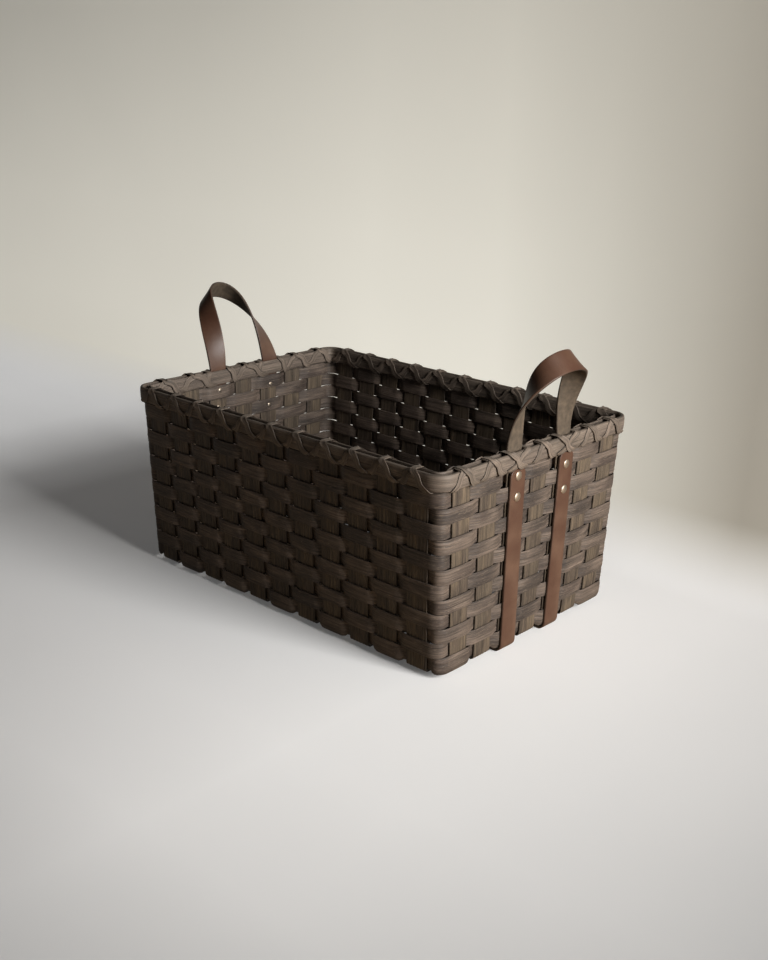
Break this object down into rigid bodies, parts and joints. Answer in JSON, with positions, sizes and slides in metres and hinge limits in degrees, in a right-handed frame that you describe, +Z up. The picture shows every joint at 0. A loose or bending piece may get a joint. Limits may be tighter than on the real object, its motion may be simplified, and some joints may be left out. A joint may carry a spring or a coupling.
{
  "type": "storage basket",
  "caption": "Rectangular storage basket plaited from flat wooden splints, with a lashed rim, leather loop handles that flex at the rim and leather base straps riveted up both ends.",
  "frame": {"origin": "on the floor under the middle of the whole part, handles included; the basket's own middle lies 11.7 mm towards +X, because the left handle reaches out further", "axes": "+X along the long sides towards the right-hand end, +Y towards the rear long side, +Z up"},
  "size_m": [0.504, 0.2988, 0.2901],
  "materials": {
    "stake_splint": "matt stained splint",
    "weaver_splint": "matt stained splint",
    "hoop_splint": "satin stained splint",
    "lashing_splint": "satin stained splint",
    "leather": "smooth brown leather",
    "brass": "polished"
  },
  "bodies": {
    "basket": {"cross_stake_1": "stake_splint", "cross_stake_2": "stake_splint", "cross_stake_3": "stake_splint", "cross_stake_4": "stake_splint", "cross_stake_5": "stake_splint", "cross_stake_6": "stake_splint", "cross_stake_7": "stake_splint", "cross_stake_8": "stake_splint", "cross_stake_9": "stake_splint", "cross_stake_10": "stake_splint", "cross_stake_11": "stake_splint", "long_stake_1": "stake_splint", "long_stake_2": "stake_splint", "long_stake_3": "stake_splint", "long_stake_4": "stake_splint", "long_stake_5": "stake_splint", "long_stake_6": "stake_splint", "long_stake_7": "stake_splint", "weaver_row_1": "weaver_splint", "weaver_row_2": "weaver_splint", "weaver_row_3": "weaver_splint", "weaver_row_4": "weaver_splint", "weaver_row_5": "weaver_splint", "weaver_row_6": "weaver_splint", "weaver_row_7": "weaver_splint", "weaver_row_8": "weaver_splint", "weaver_row_9": "weaver_splint", "weaver_row_10": "weaver_splint", "weaver_row_11": "weaver_splint", "weaver_row_12": "weaver_splint", "outer_rim_hoop": "hoop_splint", "inner_rim_hoop": "hoop_splint", "lashing_front_under": "lashing_splint", "lashing_front_over": "lashing_splint", "lashing_right_under": "lashing_splint", "lashing_right_over": "lashing_splint", "lashing_rear_under": "lashing_splint", "lashing_rear_over": "lashing_splint", "lashing_left_under": "lashing_splint", "lashing_left_over": "lashing_splint", "base_strap_front": "leather", "base_strap_rear": "leather", "right_handle_leg_front": "leather", "right_handle_leg_rear": "leather", "left_handle_leg_front": "leather", "left_handle_leg_rear": "leather", "rivet_right_front_upper": "brass", "rivet_right_front_lower": "brass", "rivet_right_rear_upper": "brass", "rivet_right_rear_lower": "brass", "rivet_left_front_upper": "brass", "rivet_left_front_lower": "brass", "rivet_left_rear_upper": "brass", "rivet_left_rear_lower": "brass"},
    "right_handle": {"right_handle_loop": "leather"},
    "left_handle": {"left_handle_loop": "leather"}
  },
  "joints": [
    {"name": "right_handle_flex", "type": "hinge", "parent": "basket", "child": "right_handle", "pos_m": [0.21811, 0, 0.202], "axis": [0, 1, 0], "range_deg": [-80, 75], "stiffness_Nm_per_rad": 0.25},
    {"name": "left_handle_flex", "type": "hinge", "parent": "basket", "child": "left_handle", "pos_m": [-0.19475, 0, 0.202], "axis": [0, -1, 0], "range_deg": [-80, 65], "stiffness_Nm_per_rad": 0.25}
  ]
}
